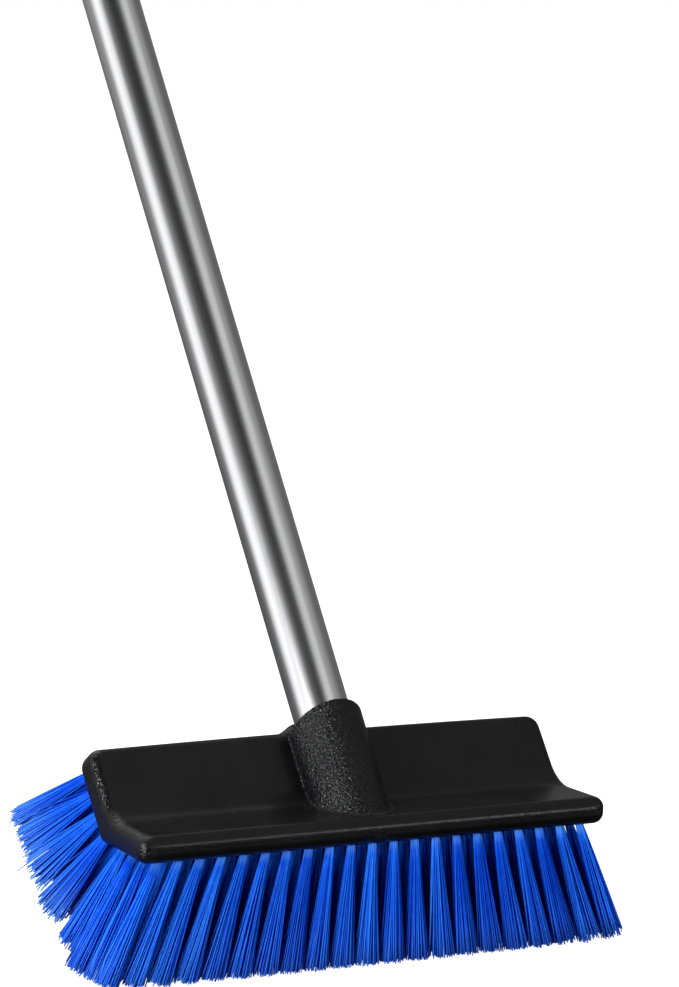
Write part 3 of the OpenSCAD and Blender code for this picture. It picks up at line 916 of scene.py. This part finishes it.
turned(
    "pole_lock_collar",
    [(LOWER_TUBE_RADIUS, COLLAR_BOTTOM, 0.2), (COLLAR_RADIUS, COLLAR_BOTTOM, 1.4)]
    + steps(COLLAR_RADIUS, COLLAR_BOTTOM + 5.0, LOWER_TUBE_TOP - 1.0, 25)
    + [
        (COLLAR_RADIUS, SPIGOT_BOTTOM, 0.5),
        (SPIGOT_RADIUS, SPIGOT_BOTTOM, 0),
        (SPIGOT_RADIUS, SPIGOT_TOP, 0.4),
        (CONE_TOP_RADIUS, SPIGOT_TOP, 0.1),
        (CONE_FOOT_RADIUS, SPIGOT_FLOOR, 0),
        (LIP_BORE, SPIGOT_FLOOR, 0.2),
        (LIP_BORE, LOWER_TUBE_TOP, 0.2),
        (LOWER_TUBE_RADIUS, LOWER_TUBE_TOP, 0),
    ],
    FITTING_PLASTIC,
    "lower_pole",
    ["lock_collar"],
    segments=240,
    shape=collar_shape,
)
turned(
    "split_collet",
    [
        (UPPER_TUBE_RADIUS + CLEARANCE, SPIGOT_FLOOR + 0.3, 0.2),
        (CONE_FOOT_RADIUS - CLEARANCE, SPIGOT_FLOOR + 0.3, 0.3),
        (CONE_TOP_RADIUS - CLEARANCE, SPIGOT_TOP, 0),
        (CONE_TOP_RADIUS - CLEARANCE, NUT_SHELF - CLEARANCE, 0.3),
        (UPPER_TUBE_RADIUS + CLEARANCE, NUT_SHELF - CLEARANCE, 0.2),
    ],
    INNER_PLASTIC,
    "lower_pole",
    ["collet"],
    gap=0.17,
)

FLUTE_DEPTH = 1.2


def nut_shape(radius, along, angle):
    """Presses the finger flutes into the nut."""
    flute = 2 * math.pi / NUT_FLUTES
    off = (angle / flute + 0.5) % 1.0 - 0.5
    across = (NUT_RADIUS + 2.0) * np.sin(off * flute)
    depth = FLUTE_DEPTH * smoothstep(-np.abs(across), -2.9, -0.2)
    depth = depth * smoothstep(along, 603.0, 604.6)
    return np.where(radius > NUT_BORE + 0.15, radius - depth, radius)


turned(
    "fluted_lock_nut",
    [(NUT_BORE, NUT_BOTTOM, 0.3), (NUT_RADIUS, NUT_BOTTOM, 1.2)]
    + steps(NUT_RADIUS, 602.6, 625.5, 24)
    + [
        (NUT_RADIUS, NUT_SHELF, 1.6),
        (NUT_TOP_RADIUS, NUT_TOP, 1.4),
        (LIP_BORE, NUT_TOP, 0.4),
        (LIP_BORE, NUT_SHELF, 0),
        (NUT_BORE, NUT_SHELF, 0),
    ],
    FITTING_PLASTIC,
    "nut",
    ["lock_nut"],
    segments=240,
    shape=nut_shape,
)

GROOVE_DEPTH = 1.1
GROOVE_WIDTH = 3.0
GRIP_RIBS = 48


def grip_outline():
    """The rubber grip's outline, with its grooves."""
    made = [(UPPER_TUBE_RADIUS, GRIP_BOTTOM, 0), (GRIP_RADIUS, GRIP_BOTTOM, 1.8)]
    pitch = (GRIP_TOP - GRIP_BOTTOM) / (GRIP_GROOVES + 1)
    floor = GRIP_RADIUS - GROOVE_DEPTH
    for k in range(1, GRIP_GROOVES + 1):
        middle = GRIP_BOTTOM + pitch * k
        low, high = middle - GROOVE_WIDTH / 2, middle + GROOVE_WIDTH / 2
        groove = [(GRIP_RADIUS, low), (floor, low), (floor, high), (GRIP_RADIUS, high)]
        made += [(r, s, 0.5) for r, s in groove]
    return made + [(GRIP_RADIUS, GRIP_TOP, 0.3), (UPPER_TUBE_RADIUS, GRIP_TOP, 0)]


def grip_shape(radius, along, angle):
    """Fine ribs along the grip's lands."""
    ribs = 0.22 * (0.5 + 0.5 * np.cos(GRIP_RIBS * angle))
    return np.where(radius > GRIP_RADIUS - GROOVE_DEPTH / 2, radius - ribs, radius)


turned(
    "rubber_grip",
    grip_outline(),
    GRIP_RUBBER,
    "upper_pole",
    ["grip"],
    segments=288,
    shape=grip_shape,
)

CAP_TOP = 780.0
PLUG_BOTTOM = 745.0
TAB_RADIUS = 11.0
TAB_HALF_THICKNESS = 5.0
HOLE_RADIUS = 5.0


def cap_field(p):
    """Field of the end cap with its hanging tab, in the handle's frame."""
    x, y, s = np.abs(p[:, 0]), p[:, 1], p[:, 2]
    rho = np.hypot(x, y)
    from_hole = np.hypot(y, s - HANGING_HOLE)
    disc = overlap(rho - GRIP_RADIUS, np.maximum(GRIP_TOP - s, s - CAP_TOP), 1.8)
    plug_ends = np.maximum(PLUG_BOTTOM - s, s - UPPER_TUBE_TOP - 2.0)
    plug = overlap(rho - UPPER_TUBE_BORE, plug_ends, 0.8)
    ring = np.maximum(rho - UPPER_TUBE_RADIUS, UPPER_TUBE_BORE - rho)
    wall = np.maximum(ring, s - UPPER_TUBE_TOP)
    tab_side = np.where(s > HANGING_HOLE, from_hole, np.abs(y)) - TAB_RADIUS
    tab = np.maximum(overlap(x - TAB_HALF_THICKNESS, tab_side, 1.6), CAP_TOP - 4.0 - s)
    solid = np.minimum(joined(disc, tab, 2.5), plug)
    solid = overlap(solid, HOLE_RADIUS - from_hole, 0.9)
    return np.maximum(solid, -wall)


cap_points, cap_quads, cap_normals = surface_of(
    cap_field, (-17.5, -17.5, 743.5), (17.5, 17.5, 806.5), 0.6
)
make_piece(
    "hanging_end_cap",
    on_handle(cap_points),
    cap_quads,
    FITTING_PLASTIC,
    "upper_pole",
    ["end_cap"],
    cap_normals @ np.array([ACROSS, BEHIND, ALONG]),
)

# The staple anchors are shown as their own CAD pieces
for cad_name in ("flange_anchors", "panel_anchors"):
    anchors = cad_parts[cad_name]
    anchors.data.materials.clear()
    anchors.data.materials.append(STEEL_WIRE)

# ---------------------------------------------------------------- studio

# The camera: its angles, its distance from the handle's foot, how much it sees there, and how
# far it looks to the right of the foot and above it
AZIMUTH = math.radians(31.8)
ELEVATION = math.radians(10.05)
ROLL = math.radians(3.15)
DISTANCE = 2700.0
VIEW_HEIGHT = 482.45185
VIEW_RIGHT = 10.754
VIEW_UP = 100.94
SENSOR = 36.0
right = np.array([math.cos(AZIMUTH), -math.sin(AZIMUTH), 0.0])
forward = np.array([
    math.sin(AZIMUTH) * math.cos(ELEVATION),
    math.cos(AZIMUTH) * math.cos(ELEVATION),
    -math.sin(ELEVATION),
])
up = np.cross(right, forward)
right, up = (
    math.cos(ROLL) * right + math.sin(ROLL) * up,
    math.cos(ROLL) * up - math.sin(ROLL) * right,
)
camera_data = bpy.data.cameras.new("camera")
camera_data.sensor_width = SENSOR
camera_data.lens = SENSOR * DISTANCE / VIEW_HEIGHT
camera_data.clip_start = 0.1
camera_data.clip_end = 60.0
camera = bpy.data.objects.new("camera", camera_data)
scene.collection.objects.link(camera)
place = HANDLE_POINT + VIEW_RIGHT * right + VIEW_UP * up - DISTANCE * forward
axes = np.eye(4)
axes[:3] = np.stack([right, up, -forward, place * MM], -1)
camera.matrix_world = Matrix(axes.tolist())
scene.camera = camera

scene.view_settings.view_transform = "Standard"
scene.view_settings.look = "None"

# Where the area lights are aimed
HEAD_MIDDLE = np.array([0.0, 20.0, 60.0])
# The world's even level, and the soft strips that are added to it. Each is its middle, as a
# turn round the handle's axis from the camera's side, half width and soft edge, in degrees,
# and its strength.
WORLD_LEVEL = 0.15
DARK_STRIP = (3.0, 24.0, 16.0, -0.13)
BRIGHT_STRIPS = (
    (-65.0, 21.0, 16.0, 1.15),
    (-125.0, 30.0, 18.0, 0.24),
    (50.0, 14.0, 9.0, 0.36),
    (66.0, 26.0, 22.0, 0.26),
    (180.0, 26.0, 14.0, 0.07),
)
OVERHEAD_STRENGTH = 2.6
WHITE = (1.0, 1.0, 1.0, 1.0)
FLOOR_GLOW = 0.93
LOW_SHARE = 0.25


def studio_world():
    """Soft strips set round the handle's axis, and a bright patch that the axis points at."""
    world = bpy.data.worlds.new("studio")
    world.use_nodes = True
    tree = world.node_tree
    toward = -forward
    facing = toward - (toward @ ALONG) * ALONG
    facing /= np.linalg.norm(facing)
    aside = np.cross(ALONG, facing)
    direction = node(tree, "TexCoord").outputs["Generated"]

    def part(axis):
        """How far the direction points along an axis, from -1 to 1."""
        return node(
            tree, "VectorMath", {0: direction, 1: tuple(axis)}, operation="DOT_PRODUCT"
        ).outputs["Value"]

    turn = maths(tree, "ARCTAN2", part(aside), part(facing))

    def box(centre, half, soft):
        """1 inside a strip round the axis, falling to 0 over its soft edge (degrees)."""
        shifted = maths(tree, "SUBTRACT", turn, math.radians(centre))
        wrapped = maths(tree, "WRAP", shifted, math.pi, -math.pi)
        off = maths(tree, "ABSOLUTE", wrapped)
        inner, outer = math.radians(half - soft), math.radians(half + soft)
        return smooth_range(tree, off, inner, outer, 1.0, 0.0)

    level = WORLD_LEVEL
    for centre, half, soft, strength in (DARK_STRIP, *BRIGHT_STRIPS):
        level = maths(tree, "MULTIPLY_ADD", box(centre, half, soft), strength, level)
    overhead = smooth_range(tree, part(ALONG), 0.88, 0.97, 0.0, OVERHEAD_STRENGTH)
    level = maths(tree, "ADD", level, overhead)
    share = smooth_range(tree, part((0.0, 0.0, 1.0)), -0.35, 0.05, LOW_SHARE, 1.0)
    background = tree.nodes["Background"]
    tree.links.new(maths(tree, "MULTIPLY", level, share), background.inputs["Strength"])
    background.inputs["Color"].default_value = WHITE
    scene.world = world


def disc_floor(radius=5.0, sides=96):
    """A round pale floor that is left out of reflections and of bounced light."""
    angles = np.linspace(0, 2 * math.pi, sides, endpoint=False)
    points = np.stack([radius * np.cos(angles), radius * np.sin(angles), 0 * angles], -1)
    mesh = bpy.data.meshes.new("floor")
    mesh.from_pydata(points.tolist(), [], [list(range(sides))])
    material, _, surface = new_material("pale_floor", roughness=0.9)
    surface.inputs["Base Color"].default_value = (0.3, 0.3, 0.3, 1.0)
    surface.inputs["Specular IOR Level"].default_value = 0.0
    surface.inputs["Emission Color"].default_value = WHITE
    surface.inputs["Emission Strength"].default_value = FLOOR_GLOW
    mesh.materials.append(material)
    floor = bpy.data.objects.new("floor", mesh)
    scene.collection.objects.link(floor)
    floor.visible_glossy = False
    floor.visible_diffuse = False


def white_surround(radius=20.0):
    """A white surround that only the camera sees, behind everything."""
    mesh = bpy.data.meshes.new("surround")
    turns, levels = 48, 24
    points, faces = [], []
    for a in range(levels + 1):
        polar = math.pi * a / levels
        for b in range(turns):
            angle = 2 * math.pi * b / turns
            points.append((
                radius * math.sin(polar) * math.cos(angle),
                radius * math.sin(polar) * math.sin(angle),
                radius * math.cos(polar),
            ))
    for a in range(levels):
        for b in range(turns):
            c = (b + 1) % turns
            faces.append((a * turns + b, a * turns + c, (a + 1) * turns + c, (a + 1) * turns + b))
    mesh.from_pydata(points, [], faces)
    material = bpy.data.materials.new("white_surround")
    material.use_nodes = True
    tree = material.node_tree
    glow = node(tree, "Emission", {"Color": WHITE, "Strength": 1.0})
    output = next(n for n in tree.nodes if n.type == "OUTPUT_MATERIAL")
    tree.links.new(glow.outputs[0], output.inputs["Surface"])
    mesh.materials.append(material)
    surround = bpy.data.objects.new("surround", mesh)
    scene.collection.objects.link(surround)
    for kind in ("diffuse", "glossy", "transmission", "volume_scatter", "shadow"):
        setattr(surround, "visible_" + kind, False)


def side_light(name, toward, away, width, power, glossy=True):
    """A square soft box aimed at the head.

    toward is its direction from the head, away its distance in millimetres, width its side in
    metres and power is in watts. One that is not glossy is left out of reflections.
    """
    toward = np.array(toward) / np.linalg.norm(toward)
    data = bpy.data.lights.new(name, "AREA")
    data.shape = "SQUARE"
    data.size = width
    data.energy = power
    light = bpy.data.objects.new(name, data)
    scene.collection.objects.link(light)
    light.location = ((HEAD_MIDDLE + away * toward) * MM).tolist()
    light.rotation_mode = "QUATERNION"
    light.rotation_quaternion = Vector(toward.tolist()).to_track_quat("Z", "Y")
    light.visible_glossy = glossy


studio_world()
side_light("left_box", (-0.9, -0.45, 0.15), 3000.0, 1.0, 150.0)
side_light("top_left_box", (-0.6, 0.1, 0.85), 2000.0, 0.8, 55.0, False)
side_light("front_box", (0.55, -0.83, 0.07), 3000.0, 0.6, 9.0)
side_light("right_box", (0.85, -0.5, 0.3), 3000.0, 0.8, 30.0, False)
disc_floor()
white_surround()
